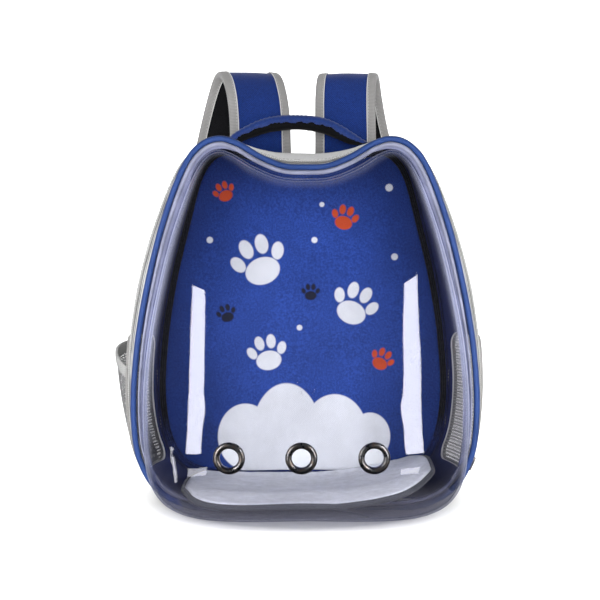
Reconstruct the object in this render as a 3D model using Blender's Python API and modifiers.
"""A bubble pet carrier backpack with a clear eared dome, modelled as its separate sewn and moulded pieces.

Run it with blender --background --python part.py, or from Blender's text editor.
The tables and driving dimensions are in millimetres. place() turns them into metres.
X runs across the bag, Z up from the base, and depth runs back from the dome's rim towards the wearer.
The origin is on the flat base, under the middle of the fabric body.
"""

import math
from collections import namedtuple

import bmesh
import bpy
from mathutils import Matrix, Vector
from mathutils.bvhtree import BVHTree

MM = 0.001

# Fabric body
BODY_DEPTH = 150.0
RIM_TO_ORIGIN = 75.0
FABRIC = 2.0
LINING = 1.0
GAP = 0.4
ZIP_FRONT = 30.0
ZIP_BACK = 42.0
ZIP_TAPE_INSETS = (0.5, 1.7)
REAR_STATIONS = (90.0, 142.0)
STEPS_PER_PLACE = 2
SHARP_ANGLE = 40.0

# Where the body's outline counts as its side
SIDE_FROM_X = 100.0
SIDE_HEIGHTS = (15.0, 345.0)

# Piping
PIPING_RADIUS = 3.0
FRONT_EDGE_INSET = 2.0
BACK_PIPING_INSET = 2.6
FRONT_PIPING_ROUNDNESS = 1
BACK_PIPING_ROUNDNESS = 0

# Dome
DOME_DEPTH = 110.0
DOME_WALL = 2.0
DOME_POLE_Z = 112.0
DOME_EGG_TOP = 322.0
DOME_EGG_HALF_WIDTH = 158.0
DOME_EGG_POWER = 2.3
DOME_INSET = 6.8
DOME_LIP = 3.8
DOME_SIDE_INSET = 10.8
DOME_BASE_INSET = 4.0
DOME_BASE_HEIGHTS = (14.0, 60.0)
DOME_RINGS = 6

# Eyelets
EYELET_RADIUS = 14.4
EYELET_HOLE_RADIUS = 8.9
EYELET_SEAT_RADIUS = 11.6
EYELET_Z = 69.0
EYELET_X = {"left": -70.0, "centre": -5.5, "right": 59.5}
EYELET_SIDES = 12
EYELET_CUT = (-14.0, 12.0)
EYELET_BARREL_RADIUS = 11.1
EYELET_BACK_RADIUS = 13.6
EYELET_BACK = (-3.4, -4.4)

# Back and inside
BACK_CLEARANCE = 0.6
BACK_PANEL_THICK = 7.5
BACK_PANEL_BEVEL = (2.0, 3.0)
INNER_PANEL_INSET = 14.3
INNER_PANEL_DEPTHS = (144.6, 147.6)
INNER_BINDING_INSETS = (4.0, 13.8)
INNER_BINDING_PROUD = 1.0
MAT_THICK = 6.5
MAT_CLEARANCE = 0.8
MAT_STEPS = 8

# Side windows
WINDOW_DEPTHS = (52.0, 143.0)
WINDOW_HEIGHTS = (28.0, 164.0)
WINDOW_CORNER = 16.0
WINDOW_CUT = (90.0, 220.0)
WINDOW_PANEL_MARGIN = 0.6
WINDOW_PANEL_INSETS = (0.4, 1.4)

# Left pocket
POCKET_DEPTHS = (48.0, 128.0)
POCKET_FOOT_Z = 30.0
POCKET_MOUTH = (136.0, 158.0)
POCKET_SWELL = 15.0
POCKET_SWELL_POWER = 0.6
POCKET_CLEARANCE = 0.6
POCKET_WALL = 1.2
POCKET_BAND = 11.0
POCKET_STEPS_ACROSS = 8
POCKET_STEPS_UP = 4

# Handle
HANDLE_DEPTHS = (137.0, 161.0)
HANDLE_BLUE_SHARES = (0.0, 0.55)
HANDLE_BLACK_SHARES = (0.58, 1.0)
HANDLE_SHOULDER = 0.4
HANDLE_SOFT = 3.0

# Shoulder straps
STRAP_WIDTH = 66.0
STRAP_PAD = 5.0
STRAP_LINING = 3.0
BINDING_WIDTH = 9.0
BINDING_PROUD = 0.6
WEBBING_WIDTH = 25.0
WEBBING_THICK = 1.6
WEBBING_RUN_ON = (12.0, 24.0)
ADJUSTER_SIZE = (36.0, 30.0, 5.0)
ADJUSTER_CORNER = 4.0
ADJUSTER_GAP = 2.0
ADJUSTER_SLOT = (27.0, 5.0)
ADJUSTER_SLOT_CORNER = 1.0
ADJUSTER_SLOT_OFFSET = 7.5
ANCHOR_THICK = 1.8

# Zip slider, parked low on the right side
SLIDER_Z = 40.0
SLIDER_LEAN = 24.0
SLIDER_SIZE = (9.0, 14.0, 3.2)
SLIDER_CORNER = 2.0
SLIDER_CLEARANCE = 1.2

# How far outside the bag a measuring ray starts
RAY_START = 400.0

COLLECTION = "bubble_pet_carrier_backpack"

# The outline at the dome's rim, at the middle of the body and at the back, from the base up to the valley
Place = namedtuple("Place", "name front_x front_z middle_x middle_z back_x back_z")
OUTLINE = (
    Place("base_centre", 0, 2.2, 0, -6, 0, 1.6),
    Place("base_corner", 112, 4.0, 121, -2, 107, 4.5),
    Place("low_corner", 144, 21, 153, 17, 136, 19),
    Place("hip", 161, 50, 170, 48, 152, 46),
    Place("side_low", 166.6, 92, 177.8, 95, 160, 92),
    Place("side_middle", 163.3, 156, 177, 158, 157, 157),
    Place("side_high", 152, 222, 167.5, 222, 147, 222),
    Place("chest", 136.5, 282, 150, 283, 132.5, 283),
    Place("shoulder", 117, 333, 128.5, 334, 119, 332),
    Place("ear_outer", 106, 349, 114, 351, 108, 351),
    Place("ear_rise", 94, 357.6, 98, 360.5, 96, 361),
    Place("ear_tip", 81, 360, 83, 363.5, 83, 364.5),
    Place("ear_inner", 66, 355.6, 67, 361, 68, 362.5),
    Place("ear_foot", 43, 342.4, 45, 353.5, 48, 357.5),
    Place("valley_side", 21, 334, 22, 348.4, 24, 354.6),
    Place("valley_centre", 0, 332.8, 0, 347.5, 0, 354),
)

# How square the dome's bulge is below, beside and above its pole
Bulge = namedtuple("Bulge", "below beside above")
DOME_POWER = Bulge(9.0, 3.2, 2.2)

# The eyelet's visible face, from the hole outwards
EyeletRing = namedtuple("EyeletRing", "radius out")
EYELET_FACE = (
    EyeletRing(EYELET_HOLE_RADIUS, 1.6),
    EyeletRing(10.6, 3.2),
    EyeletRing(13.0, 2.8),
    EyeletRing(EYELET_RADIUS, 1.1),
    EyeletRing(EYELET_BARREL_RADIUS, 0.9),
)

# The mat's underside, from its front edge in the dome to the back
MatRun = namedtuple("MatRun", "depth under_z left_x right_x")
MAT_RUNS = (
    MatRun(-38, 7.2, -62, 66),
    MatRun(-32, 7.6, -92, 92),
    MatRun(-18, 9.0, -108, 108),
    MatRun(0, 10.4, -115, 119),
    MatRun(16, 9.6, -119, 125),
    MatRun(46, 4.8, -122, 129),
    MatRun(90, 4.2, -122, 128),
    MatRun(126, 4.2, -116, 122),
    MatRun(141, 7.4, -104, 108),
)
MatLift = namedtuple("MatLift", "x lift")
MAT_LIFTS = (
    MatLift(-130, 6.0),
    MatLift(-100, 1.5),
    MatLift(-30, 0.0),
    MatLift(20, 0.6),
    MatLift(60, 5.0),
    MatLift(100, 13.0),
    MatLift(130, 22.0),
)

# The handle's arch, seen from the front: its upper line and its under line
Arch = namedtuple("Arch", "top_x top_z under_x under_z")
HANDLE_ARCH = (
    Arch(-84.0, 366.8, -69.5, 364.8),
    Arch(-76.0, 374.0, -62.0, 368.6),
    Arch(-60.0, 383.7, -50.0, 372.6),
    Arch(-38.0, 392.3, -34.0, 377.0),
    Arch(-6.0, 395.0, -6.0, 379.6),
    Arch(24.0, 391.4, 20.0, 375.8),
    Arch(44.0, 382.0, 36.0, 369.8),
    Arch(62.0, 370.4, 48.0, 365.0),
    Arch(69.0, 366.2, 56.0, 363.6),
)

# The middle line of each shoulder strap, and how far its width is turned from straight across
StrapRow = namedtuple("StrapRow", "x depth z turn")
STRAP_ROWS = {
    "left": (
        StrapRow(-44, 163.4, 300, 0),
        StrapRow(-45, 164.6, 334, 0),
        StrapRow(-46, 170, 364, 2),
        StrapRow(-47, 177, 394, 5),
        StrapRow(-50, 187, 419, 8),
        StrapRow(-55, 202, 438, 8),
        StrapRow(-61, 219, 444.5, 6),
        StrapRow(-67, 234, 438, 3),
        StrapRow(-75, 244, 416, 0),
        StrapRow(-85, 245, 376, 0),
        StrapRow(-104, 224, 280, 0),
        StrapRow(-118, 194, 176, 0),
    ),
    "right": (
        StrapRow(46, 163.4, 300, 0),
        StrapRow(46, 164.6, 334, 0),
        StrapRow(46.5, 170, 364, -1),
        StrapRow(46.5, 177, 394, -3),
        StrapRow(47, 187, 419, -5),
        StrapRow(49, 202, 438, -5),
        StrapRow(52, 219, 444, -4),
        StrapRow(55, 234, 438, -2),
        StrapRow(59, 244, 416, 0),
        StrapRow(67, 245, 376, 0),
        StrapRow(93, 224, 280, 0),
        StrapRow(114, 194, 176, 0),
    ),
}
WebbingRow = namedtuple("WebbingRow", "x depth z")
WEBBING_ROWS = (WebbingRow(122, 166.0, 92), WebbingRow(125, 162.8, 66), WebbingRow(125.5, 162.4, 46))

# The right lower corner tab's outline
TabCorner = namedtuple("TabCorner", "x z")
ANCHOR_OUTLINE = (
    TabCorner(108, 24),
    TabCorner(128, 30),
    TabCorner(138, 42),
    TabCorner(138, 56),
    TabCorner(108, 56),
)

Finish = namedtuple("Finish", "name colour roughness metallic alpha")
FINISHES = (
    Finish("grey cloth", (0.72, 0.72, 0.71), 0.85, 0.0, 1.0),
    Finish("zip tape", (0.42, 0.42, 0.42), 0.7, 0.0, 1.0),
    Finish("navy cloth", (0.02, 0.03, 0.14), 0.85, 0.0, 1.0),
    Finish("blue cloth", (0.02, 0.06, 0.32), 0.8, 0.0, 1.0),
    Finish("black cloth", (0.012, 0.012, 0.014), 0.9, 0.0, 1.0),
    Finish("back cloth", (0.03, 0.03, 0.035), 0.9, 0.0, 1.0),
    Finish("mesh cloth", (0.28, 0.28, 0.28), 0.8, 0.0, 1.0),
    Finish("grey ribbon", (0.5, 0.5, 0.5), 0.75, 0.0, 1.0),
    Finish("plush", (0.5, 0.52, 0.64), 0.95, 0.0, 1.0),
    Finish("gunmetal", (0.13, 0.12, 0.11), 0.3, 1.0, 1.0),
    Finish("black plastic", (0.015, 0.015, 0.015), 0.45, 0.0, 1.0),
    Finish("black webbing", (0.015, 0.015, 0.017), 0.8, 0.0, 1.0),
    Finish("clear smoky plastic", (0.55, 0.56, 0.6), 0.05, 0.0, 0.25),
    Finish("cutter", (0.8, 0.2, 0.2), 1.0, 0.0, 1.0),
)


def place(x, depth, z):
    """A point in metres from the bag's own millimetres."""
    return Vector((x, depth - RIM_TO_ORIGIN, z)) * MM


def clear_scene():
    for item in list(bpy.data.objects):
        bpy.data.objects.remove(item, do_unlink=True)


def new_collection(name):
    collection = bpy.data.collections.new(name)
    bpy.context.scene.collection.children.link(collection)
    return collection


def finish_material(finish):
    material = bpy.data.materials.new(finish.name)
    material.use_nodes = True
    shader = material.node_tree.nodes["Principled BSDF"]
    shader.inputs["Base Color"].default_value = (*finish.colour, 1.0)
    shader.inputs["Roughness"].default_value = finish.roughness
    shader.inputs["Metallic"].default_value = finish.metallic
    shader.inputs["Alpha"].default_value = finish.alpha
    return material


# Smooth lines through the tables' rows


def between(p0, p1, p2, p3, t):
    """A centripetal curve from p1 to p2, guided by the points before and after."""
    knots = [0.0]
    for a, b in ((p0, p1), (p1, p2), (p2, p3)):
        knots.append(knots[-1] + math.sqrt(max((b - a).length, 1e-6)))
    t0, t1, t2, t3 = knots
    at = t1 + (t2 - t1) * t
    a1 = p0.lerp(p1, (at - t0) / (t1 - t0))
    a2 = p1.lerp(p2, (at - t1) / (t2 - t1))
    a3 = p2.lerp(p3, (at - t2) / (t3 - t2))
    b1 = a1.lerp(a2, (at - t0) / (t2 - t0))
    b2 = a2.lerp(a3, (at - t1) / (t3 - t1))
    return b1.lerp(b2, (at - t1) / (t2 - t1))


def smooth_loop(points, steps):
    count = len(points)
    line = []
    for i in range(count):
        corners = [points[(i + k) % count] for k in (-1, 0, 1, 2)]
        line += [between(*corners, step / steps) for step in range(steps)]
    return line


def smooth_run(points, steps):
    ends = [points[0] * 2 - points[1], *points, points[-1] * 2 - points[-2]]
    line = []
    for i in range(len(points) - 1):
        line += [between(*ends[i : i + 4], step / steps) for step in range(steps)]
    return line + [points[-1]]


def inset(points, distance):
    """The closed outline moved inwards, each point along its own normal."""
    count = len(points)
    moved = []
    for i, point in enumerate(points):
        along = (points[(i + 1) % count] - points[i - 1]).normalized()
        moved.append(point + Vector((-along.y, along.x)) * distance)
    return moved


def whole_outline(x_name, z_name):
    half = [Vector((getattr(row, x_name), getattr(row, z_name))) for row in OUTLINE]
    mirrored = [Vector((-point.x, point.y)) for point in half[-2:0:-1]]
    return smooth_loop(half + mirrored, STEPS_PER_PLACE)


FRONT_OUTLINE = whole_outline("front_x", "front_z")
MIDDLE_OUTLINE = whole_outline("middle_x", "middle_z")
BACK_OUTLINE = whole_outline("back_x", "back_z")


def section(depth, inward=0.0):
    """The fabric body's outline at one depth: a parabola through the three outlines, flat on the base."""
    t = depth / BODY_DEPTH
    front = 2 * (t - 0.5) * (t - 1)
    middle = 4 * t * (1 - t)
    back = 2 * t * (t - 0.5)
    edge = inset(FRONT_OUTLINE, FRONT_EDGE_INSET)
    points = []
    for a, b, c in zip(edge, MIDDLE_OUTLINE, BACK_OUTLINE):
        point = a * front + b * middle + c * back
        points.append(Vector((point.x, max(point.y, 0.0))))
    return inset(points, inward)


def side_half_width(depth, z):
    """How far the fabric side stands out from the middle at a depth and height."""
    foot, top = SIDE_HEIGHTS
    right = [p for p in section(depth) if p.x > SIDE_FROM_X and foot < p.y < top]
    right.sort(key=lambda p: p.y)
    for low, high in zip(right, right[1:]):
        if low.y <= z <= high.y:
            return low.x + (high.x - low.x) * (z - low.y) / (high.y - low.y)
    return right[0].x


# Turning rings of points into solids


def add_object(name, mesh, material, collection, smooth=True):
    item = bpy.data.objects.new(name, mesh)
    collection.objects.link(item)
    mesh.materials.append(material)
    if smooth:
        mesh.shade_smooth()
        mesh.set_sharp_from_angle(angle=math.radians(SHARP_ANGLE))
    return item


def solid(name, rings, material, collection, looped=False):
    """Rings of points joined in turn: a closed loop of rings, or a run with both ends capped.

    Bent quads are split along their short diagonal, so that two layers split alike and stay apart.
    """
    mesh = bpy.data.meshes.new(name)
    shape = bmesh.new()
    made = [[shape.verts.new(point) for point in ring] for ring in rings]
    count = len(rings[0])
    pairs = list(zip(made, made[1:]))
    if looped:
        pairs.append((made[-1], made[0]))
    for first, second in pairs:
        for i in range(count):
            j = (i + 1) % count
            shape.faces.new((first[i], first[j], second[j], second[i]))
    if not looped:
        shape.faces.new(made[0])
        shape.faces.new(reversed(made[-1]))
    quads = [face for face in shape.faces if len(face.verts) == 4]
    bmesh.ops.triangulate(shape, faces=quads, quad_method="SHORT_EDGE")
    bmesh.ops.recalc_face_normals(shape, faces=shape.faces)
    shape.to_mesh(mesh)
    shape.free()
    return add_object(name, mesh, material, collection)


def ring_at(depth, inward):
    return [place(p.x, depth, p.y) for p in section(depth, inward)]


def band(name, depths, outer, inner, material, collection):
    """A fabric band round the body, from its first depth to its last, between two insets."""
    outside = [ring_at(depth, outer) for depth in depths]
    inside = [ring_at(depth, inner) for depth in reversed(depths)]
    return solid(name, outside + inside, material, collection, looped=True)


def piping(name, outline, depth, inward, roundness, material, collection):
    """A cord round an outline: a closed curve with a round bevel."""
    curve = bpy.data.curves.new(name, "CURVE")
    curve.dimensions = "3D"
    curve.bevel_depth = PIPING_RADIUS * MM
    curve.bevel_resolution = roundness
    points = inset(outline, inward)
    spline = curve.splines.new("POLY")
    spline.points.add(len(points) - 1)
    for knot, point in zip(spline.points, points):
        knot.co = (*place(point.x, depth, point.y), 1.0)
    spline.use_cyclic_u = True
    item = bpy.data.objects.new(name, curve)
    curve.materials.append(material)
    collection.objects.link(item)
    return item


def ribbon(name, frames, profile, material, collection):
    """A strip swept along frames of (centre, side, outward), with one closed profile of (across, out)."""
    rings = []
    for centre, side, outward in frames:
        points = [centre + side * across + outward * out for across, out in profile]
        rings.append([place(*point) for point in points])
    return solid(name, rings, material, collection)


def prism(name, outline, axis_range, to_point, collection):
    """A hidden cutter: a flat outline carried between two values along the third axis."""
    rings = [[to_point(along, *point) for point in outline] for along in axis_range]
    cutter = solid(name, rings, bpy.data.materials["cutter"], collection)
    cutter.hide_render = True
    cutter.display_type = "WIRE"
    return cutter


def boolean(item, cutter, operation="DIFFERENCE"):
    modifier = item.modifiers.new(f"{operation.lower()} {cutter.name}", "BOOLEAN")
    modifier.operation = operation
    modifier.object = cutter


def rounded_rectangle(x_range, y_range, radius, steps=2):
    """Corner arcs joined by straight sides, counter-clockwise."""
    (x0, x1), (y0, y1) = x_range, y_range
    centres = (
        (x1 - radius, y0 + radius, -90),
        (x1 - radius, y1 - radius, 0),
        (x0 + radius, y1 - radius, 90),
        (x0 + radius, y0 + radius, 180),
    )
    points = []
    for x, y, start in centres:
        for step in range(steps + 1):
            angle = math.radians(start + 90 * step / steps)
            points.append((x + radius * math.cos(angle), y + radius * math.sin(angle)))
    return points


# The clear dome and its eyelets


def dome_base():
    """The dome's sewn edge, and the outline just in front of it where the bulge starts.

    Along the base the bulge starts low, in front of the piping. Elsewhere a narrow lip leads in to it.
    """
    edge = inset(FRONT_OUTLINE, DOME_INSET)
    low = inset(FRONT_OUTLINE, DOME_BASE_INSET)
    beside = inset(FRONT_OUTLINE, DOME_SIDE_INSET)
    foot, top = DOME_BASE_HEIGHTS
    start = []
    for point, a, b in zip(FRONT_OUTLINE, low, beside):
        share = min(max((point.y - foot) / (top - foot), 0.0), 1.0)
        start.append(a.lerp(b, share))
    return edge, start


def egg(point, pole):
    """The rounder outline that the bulge tends to, without ears or valley."""
    if point.y < pole.y:
        return point
    rise = DOME_EGG_TOP - pole.y
    angle = math.atan2((point.y - pole.y) / rise, point.x / DOME_EGG_HALF_WIDTH)
    across = math.cos(angle)
    up = math.sin(angle)
    reach = (abs(across) ** DOME_EGG_POWER + abs(up) ** DOME_EGG_POWER) ** (-1 / DOME_EGG_POWER)
    return Vector((pole.x + DOME_EGG_HALF_WIDTH * reach * across, pole.y + rise * reach * up))


def dome_ring(base, lean):
    """The outline of the bulge at one lean: 1 at the rim, 0 at the pole."""
    pole = Vector((0.0, DOME_POLE_Z))
    angle = lean * math.pi / 2
    ring = []
    for point in base:
        away = point - pole
        up = away.y / away.length
        blend = up * up
        edge_power = DOME_POWER.above if up > 0 else DOME_POWER.below
        power = DOME_POWER.beside + (edge_power - DOME_POWER.beside) * blend
        reach = math.sin(angle) ** (2 / power)
        depth = DOME_LIP + (DOME_DEPTH - DOME_LIP) * math.cos(angle) ** (2 / power)
        target = egg(point, pole)
        outline = target.lerp(point, reach**3)
        flat = pole.lerp(outline, reach)
        ring.append(place(flat.x, -depth, flat.y))
    return ring


def dome_shell(material, collection):
    edge, base = dome_base()
    rings = [[place(p.x, 0.0, p.y) for p in edge]]
    rings += [dome_ring(base, 1 - step / DOME_RINGS) for step in range(DOME_RINGS)]
    mesh = bpy.data.meshes.new("dome_shell")
    shape = bmesh.new()
    made = [[shape.verts.new(point) for point in ring] for ring in rings]
    pole = shape.verts.new(place(0.0, -DOME_DEPTH, DOME_POLE_Z))
    count = len(base)
    for i in range(count):
        j = (i + 1) % count
        for first, second in zip(made, made[1:]):
            shape.faces.new((first[i], first[j], second[j], second[i]))
        shape.faces.new((made[-1][i], made[-1][j], pole))
    bmesh.ops.remove_doubles(shape, verts=shape.verts, dist=0.02 * MM)
    bmesh.ops.recalc_face_normals(shape, faces=shape.faces)
    if sum(face.normal.y for face in shape.faces) > 0:
        bmesh.ops.reverse_faces(shape, faces=shape.faces)
    shape.to_mesh(mesh)
    shape.free()
    item = add_object("dome_shell", mesh, material, collection)
    wall = item.modifiers.new("wall", "SOLIDIFY")
    wall.thickness = DOME_WALL * MM
    wall.offset = -1.0
    wall.use_even_offset = True
    return item


def dome_seat(dome, x, z):
    """The middle and outward direction of the ring of dome that an eyelet clamps, seen from the front."""
    tree = BVHTree.FromPolygons(
        [vertex.co for vertex in dome.data.vertices],
        [polygon.vertices for polygon in dome.data.polygons],
    )
    spots = []
    for across, up in ((1, 0), (0, 1), (-1, 0), (0, -1)):
        start = place(x + across * EYELET_SEAT_RADIUS, -RAY_START, z + up * EYELET_SEAT_RADIUS)
        spots.append(tree.ray_cast(start, Vector((0.0, 1.0, 0.0)))[0])
    right, top, left, bottom = spots
    normal = (right - left).cross(top - bottom).normalized()
    return sum(spots, Vector()) / 4, (normal if normal.y < 0 else -normal)


def turned(name, profile, material, collection, matrix):
    """A profile of (radius, height) turned about its axis with a Screw modifier."""
    mesh = bpy.data.meshes.new(name)
    shape = bmesh.new()
    made = [shape.verts.new(Vector((radius, 0.0, height)) * MM) for radius, height in profile]
    for first, second in zip(made, made[1:] + made[:1]):
        shape.edges.new((first, second))
    shape.to_mesh(mesh)
    shape.free()
    item = add_object(name, mesh, material, collection, smooth=False)
    screw = item.modifiers.new("turn", "SCREW")
    screw.steps = EYELET_SIDES
    screw.render_steps = EYELET_SIDES
    screw.use_merge_vertices = True
    screw.merge_threshold = 0.00001
    item.matrix_world = matrix
    return item


def eyelets(dome, metal, collection, cutters):
    deep, proud = EYELET_CUT
    core = ((0.0, proud), (EYELET_SEAT_RADIUS, proud), (EYELET_SEAT_RADIUS, deep), (0.0, deep))
    start, end = EYELET_BACK
    back = (
        (EYELET_BARREL_RADIUS, start),
        (EYELET_BACK_RADIUS, start),
        (EYELET_BACK_RADIUS, end),
        (EYELET_HOLE_RADIUS, end),
    )
    for side, x in EYELET_X.items():
        spot, normal = dome_seat(dome, x, EYELET_Z)
        turn = normal.to_track_quat("Z", "Y").to_matrix().to_4x4()
        matrix = Matrix.Translation(spot) @ turn
        hidden = bpy.data.materials["cutter"]
        hole = turned(f"eyelet_hole_{side}", core, hidden, cutters, matrix)
        hole.hide_render = True
        hole.display_type = "WIRE"
        boolean(dome, hole)
        turned(f"eyelet_{side}", EYELET_FACE + back, metal, collection, matrix)


# The fabric body


def window_cutter(name, sign, shrink, collection):
    depths = (WINDOW_DEPTHS[0] + shrink, WINDOW_DEPTHS[1] - shrink)
    heights = (WINDOW_HEIGHTS[0] + shrink, WINDOW_HEIGHTS[1] - shrink)
    outline = rounded_rectangle(depths, heights, WINDOW_CORNER - shrink)
    across = [sign * x for x in WINDOW_CUT]
    return prism(name, outline, across, place, collection)


def gussets(materials, collection, cutters):
    grey = materials["grey cloth"]
    front_depths = (PIPING_RADIUS + GAP, ZIP_FRONT - GAP)
    band("front_gusset", front_depths, 0.0, FABRIC, grey, collection)
    tape = materials["zip tape"]
    band("zip_tape", (ZIP_FRONT, ZIP_BACK), *ZIP_TAPE_INSETS, tape, collection)
    rear_depths = (ZIP_BACK + GAP, *REAR_STATIONS, BODY_DEPTH)
    rear = band("rear_gusset", rear_depths, 0.0, FABRIC, grey, collection)
    inner = FABRIC + GAP
    navy = materials["navy cloth"]
    lining = band("side_lining", rear_depths, inner, inner + LINING, navy, collection)
    for side, sign in (("left", -1), ("right", 1)):
        hole = window_cutter(f"window_hole_{side}", sign, 0.0, cutters)
        boolean(rear, hole)
        boolean(lining, hole)
        mesh_cloth = materials["mesh cloth"]
        panel = band(f"window_{side}", rear_depths, *WINDOW_PANEL_INSETS, mesh_cloth, collection)
        edge = window_cutter(f"window_edge_{side}", sign, WINDOW_PANEL_MARGIN, cutters)
        boolean(panel, edge, "INTERSECT")
    return lining


def zip_slider(metal, collection):
    """The parked slider, out of sight low on the right side."""
    width, length, thick = SLIDER_SIZE
    depth = (ZIP_FRONT + ZIP_BACK) / 2
    x = side_half_width(depth, SLIDER_Z) + SLIDER_CLEARANCE
    lean = math.radians(SLIDER_LEAN)
    side = Vector((0.0, 1.0, 0.0))
    up = Vector((math.sin(lean), 0.0, math.cos(lean)))
    outward = Vector((math.cos(lean), 0.0, -math.sin(lean)))
    outline = rounded_rectangle((-width / 2, width / 2), (-length / 2, length / 2), SLIDER_CORNER)
    rings = []
    for out in (0.0, thick):
        centre = Vector((x, depth, SLIDER_Z)) + outward * out
        rings.append([place(*(centre + side * a + up * b)) for a, b in outline])
    return solid("zip_slider", rings, metal, collection)


def flat_plate(name, outline_insets, material, collection):
    """A panel across the body: the back outline at each (depth, inset), capped at both ends."""
    rings = []
    for depth, inward in outline_insets:
        rings.append([place(p.x, depth, p.y) for p in inset(BACK_OUTLINE, inward)])
    return solid(name, rings, material, collection)


def back_and_inside(materials, collection):
    rear = BODY_DEPTH + BACK_CLEARANCE
    outer_face = rear + BACK_PANEL_THICK
    edge = BACK_PIPING_INSET + PIPING_RADIUS + BACK_CLEARANCE
    bevel, bevel_in = BACK_PANEL_BEVEL
    layers = ((rear, edge), (outer_face - bevel, edge), (outer_face, edge + bevel_in))
    flat_plate("back_panel", layers, materials["back cloth"], collection)
    first, last = INNER_PANEL_DEPTHS
    layers = ((first, INNER_PANEL_INSET), (last, INNER_PANEL_INSET))
    flat_plate("inner_panel", layers, materials["blue cloth"], collection)
    outer, inner = INNER_BINDING_INSETS
    near = first - INNER_BINDING_PROUD
    far = last + INNER_BINDING_PROUD
    rings = []
    for depth, inward in ((near, outer), (far, outer), (far, inner), (near, inner)):
        rings.append([place(p.x, depth, p.y) for p in inset(BACK_OUTLINE, inward)])
    solid("inner_binding", rings, materials["black cloth"], collection, looped=True)


def mat_lift(x):
    """How far the mat's ends curl up the rounded corners of the bag."""
    for low, high in zip(MAT_LIFTS, MAT_LIFTS[1:]):
        if x <= high.x:
            return low.lift + (high.lift - low.lift) * (x - low.x) / (high.x - low.x)
    return MAT_LIFTS[-1].lift


def surface_tree(item):
    graph = bpy.context.evaluated_depsgraph_get()
    return BVHTree.FromObject(item, graph)


def floor_mat(supports, material, collection):
    """The mat follows its own sag, and never sinks into the dome or lining under it."""
    trees = [surface_tree(item) for item in supports]

    def under(x, row):
        z = row.under_z + mat_lift(x)
        for tree in trees:
            hit, _, _, _ = tree.ray_cast(place(x, row.depth, EYELET_Z), Vector((0.0, 0.0, -1.0)))
            if hit:
                z = max(z, hit.z / MM + MAT_CLEARANCE)
        return z

    rings = []
    for row in MAT_RUNS:
        width = row.right_x - row.left_x
        xs = [row.left_x + width * i / MAT_STEPS for i in range(MAT_STEPS + 1)]
        heights = [under(x, row) for x in xs]
        below = [place(x, row.depth, z) for x, z in zip(xs, heights)]
        above = [place(x, row.depth, z + MAT_THICK) for x, z in zip(xs, heights)]
        rings.append(below + above[::-1])
    return solid("floor_mat", rings, material, collection)


def mouth_z(a):
    """The height of the pocket's mouth: low at the front, high at the back."""
    low, high = POCKET_MOUTH
    return low + (high - low) * (1 - (1 - a) ** 2)


def pocket_point(a, z, out):
    """A point on the pocket's skin, a share of the way from its front seam to its back seam."""
    depth = POCKET_DEPTHS[0] + (POCKET_DEPTHS[1] - POCKET_DEPTHS[0]) * a
    rise = (z - POCKET_FOOT_Z) / (POCKET_MOUTH[1] - POCKET_FOOT_Z)
    swell = POCKET_SWELL * math.sin(math.pi * a) ** POCKET_SWELL_POWER * rise
    x = side_half_width(depth, z) + POCKET_CLEARANCE + swell + out
    return place(-x, depth, z)


def pocket_skin(name, height_range, rows, material, collection):
    """A skin that stands off the left side, between two heights that vary along the mouth."""
    rings = []
    for j in range(POCKET_STEPS_ACROSS + 1):
        a = j / POCKET_STEPS_ACROSS
        start, end = height_range(a)
        heights = [start + (end - start) * k / rows for k in range(rows + 1)]
        inside = [pocket_point(a, z, 0.0) for z in heights]
        outside = [pocket_point(a, z, POCKET_WALL) for z in reversed(heights)]
        rings.append(inside + outside)
    return solid(name, rings, material, collection)


def pocket(mesh_cloth, band_cloth, collection):
    def skirt(a):
        return POCKET_FOOT_Z, mouth_z(a) - POCKET_BAND

    def mouth(a):
        return mouth_z(a) - POCKET_BAND + GAP, mouth_z(a)

    pocket_skin("pocket_left", skirt, POCKET_STEPS_UP, mesh_cloth, collection)
    pocket_skin("pocket_band", mouth, 1, band_cloth, collection)


# Handle and shoulder straps


def handle_layer(name, shares, shoulder_share, soft, material, collection):
    """One layer of the arch, between two shares of its thickness, with its upper edges rounded."""
    tops = smooth_run([Vector((row.top_x, row.top_z)) for row in HANDLE_ARCH], 2)
    unders = smooth_run([Vector((row.under_x, row.under_z)) for row in HANDLE_ARCH], 2)
    near, far = HANDLE_DEPTHS
    upper, lower = shares
    rings = []
    for top, under in zip(tops, unders):
        high = top.lerp(under, upper)
        low = top.lerp(under, lower)
        shoulder = high.lerp(low, shoulder_share)
        ring = (
            place(low.x, near, low.y),
            place(low.x, far, low.y),
            place(shoulder.x, far, shoulder.y),
            place(high.x, far - soft, high.y),
            place(high.x, near + soft, high.y),
            place(shoulder.x, near, shoulder.y),
        )
        rings.append(ring)
    return solid(name, rings, material, collection)


def handle(materials, collection):
    blue = materials["blue cloth"]
    handle_layer("handle_top", HANDLE_BLUE_SHARES, HANDLE_SHOULDER, HANDLE_SOFT, blue, collection)
    black = materials["black cloth"]
    handle_layer("handle_underside", HANDLE_BLACK_SHARES, HANDLE_SHOULDER, 1.0, black, collection)


def strip_frames(points, turns):
    """Frames along a smooth line: the side direction stays level, turned by a small angle."""
    frames = []
    last = len(points) - 1
    for i, point in enumerate(points):
        along = (points[min(i + 1, last)] - points[max(i - 1, 0)]).normalized()
        turn = math.radians(turns[i])
        level = Vector((math.cos(turn), math.sin(turn), 0.0))
        side = (level - along * level.dot(along)).normalized()
        frames.append((point, side, side.cross(along).normalized()))
    return frames


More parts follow.
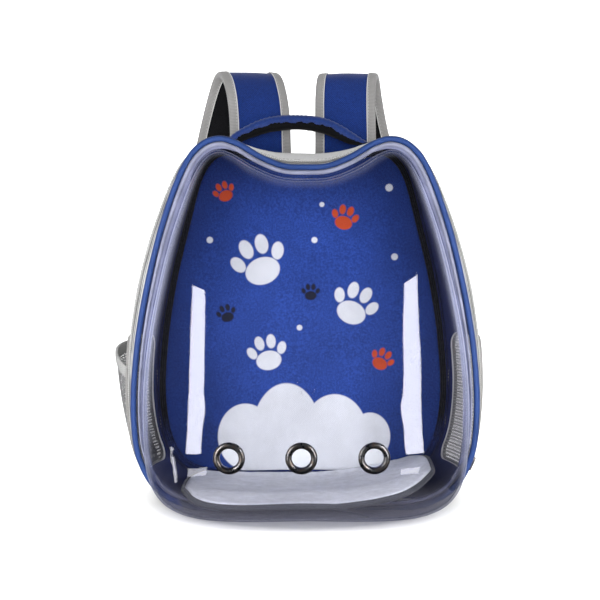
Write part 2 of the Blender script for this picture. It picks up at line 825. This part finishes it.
def shoulder_strap(side_name, materials, collection):
    """The blue pad, its black inner face and the ribbon-bound edges, swept along one line."""
    rows = STRAP_ROWS[side_name]
    line = smooth_run([Vector((row.x, row.depth, row.z, row.turn)) for row in rows], 2)
    frames = strip_frames([Vector(knot[:3]) for knot in line], [knot[3] for knot in line])
    half = STRAP_WIDTH / 2
    reach = half - BINDING_WIDTH
    pad = reach - GAP
    top = (STRAP_PAD + STRAP_LINING + GAP) / 2
    seam = top - STRAP_PAD
    low = -top
    outer = ((-pad, seam), (pad, seam), (pad, top - 1), (0, top), (-pad, top - 1))
    ribbon(f"strap_{side_name}", frames, outer, materials["blue cloth"], collection)
    under = seam - GAP
    inner = ((-pad, low), (pad, low), (pad, under), (-pad, under))
    ribbon(f"strap_lining_{side_name}", frames, inner, materials["black cloth"], collection)
    proud = top + BINDING_PROUD
    for edge, sign in (("right", 1), ("left", -1)):
        near = sign * reach
        far = sign * half
        bound = ((near, -proud), (far, -proud + 1), (far, proud - 1), (near, proud))
        name = f"strap_{side_name}_binding_{edge}"
        ribbon(name, frames, bound, materials["grey ribbon"], collection)
    return frames


def ladder_lock(side_name, frame, materials, collection, cutters):
    """The plastic adjuster: a plate with two slots, in the frame (centre, side, along, outward)."""
    centre, side, along, outward = frame
    width, height, thick = ADJUSTER_SIZE

    def to_point(out, a, b):
        return place(*(centre + side * a + along * b + outward * out))

    plate = rounded_rectangle((-width / 2, width / 2), (-height / 2, height / 2), ADJUSTER_CORNER)
    rings = [[to_point(out, a, b) for a, b in plate] for out in (-thick / 2, thick / 2)]
    lock = solid(f"adjuster_{side_name}", rings, materials["black plastic"], collection)
    slot_width, slot_height = ADJUSTER_SLOT
    across = (-slot_width / 2, slot_width / 2)
    for index, middle in enumerate((-ADJUSTER_SLOT_OFFSET, ADJUSTER_SLOT_OFFSET)):
        up = (middle - slot_height / 2, middle + slot_height / 2)
        slot = rounded_rectangle(across, up, ADJUSTER_SLOT_CORNER, steps=1)
        cutter = prism(f"adjuster_slot_{side_name}_{index}", slot, (-thick, thick), to_point, cutters)
        boolean(lock, cutter)


def strap_hardware(side_name, frames, materials, collection, cutters):
    """The adjuster at the pad's end, the webbing below it and the tab at the bag's lower corner."""
    last, side, outward = frames[-1]
    along = (last - frames[-2][0]).normalized()
    _, height, thick = ADJUSTER_SIZE
    centre = last + along * (height / 2 + ADJUSTER_GAP)
    ladder_lock(side_name, (centre, side, along, outward), materials, collection, cutters)
    sign = -1 if side_name == "left" else 1
    behind = outward * (thick / 2 + WEBBING_THICK)
    rows = [centre + along * run - behind for run in (0.0, *WEBBING_RUN_ON)]
    rows += [Vector((sign * row.x, row.depth, row.z)) for row in WEBBING_ROWS]
    line = smooth_run(rows, 2)
    half, skin = WEBBING_WIDTH / 2, WEBBING_THICK / 2
    profile = ((-half, -skin), (half, -skin), (half, skin), (-half, skin))
    webbing_frames = strip_frames(line, [0.0] * len(line))
    ribbon(f"webbing_{side_name}", webbing_frames, profile, materials["black webbing"], collection)


def anchor_tab(side_name, material, collection):
    """The sewn corner tab behind the webbing's end, flat on the back."""
    sign = -1 if side_name == "left" else 1
    rear = BODY_DEPTH + BACK_CLEARANCE + BACK_PANEL_THICK + GAP
    rings = []
    for depth in (rear, rear + ANCHOR_THICK):
        rings.append([place(sign * x, depth, z) for x, z in ANCHOR_OUTLINE])
    solid(f"anchor_{side_name}", rings, material, collection)


def build():
    clear_scene()
    collection = new_collection(COLLECTION)
    cutters = new_collection("cutters")
    cutters.hide_render = True
    materials = {finish.name: finish_material(finish) for finish in FINISHES}
    dome = dome_shell(materials["clear smoky plastic"], collection)
    eyelets(dome, materials["gunmetal"], collection, cutters)
    blue = materials["blue cloth"]
    piping("front_piping", FRONT_OUTLINE, 0.0, PIPING_RADIUS, FRONT_PIPING_ROUNDNESS, blue, collection)
    lining = gussets(materials, collection, cutters)
    zip_slider(materials["gunmetal"], collection)
    rear = BODY_DEPTH + PIPING_RADIUS + BACK_CLEARANCE
    piping("back_piping", BACK_OUTLINE, rear, BACK_PIPING_INSET, BACK_PIPING_ROUNDNESS, blue, collection)
    back_and_inside(materials, collection)
    floor_mat((dome, lining), materials["plush"], collection)
    pocket(materials["mesh cloth"], materials["grey ribbon"], collection)
    handle(materials, collection)
    for side_name in ("left", "right"):
        frames = shoulder_strap(side_name, materials, collection)
        strap_hardware(side_name, frames, materials, collection, cutters)
        anchor_tab(side_name, materials["blue cloth"], collection)


build()
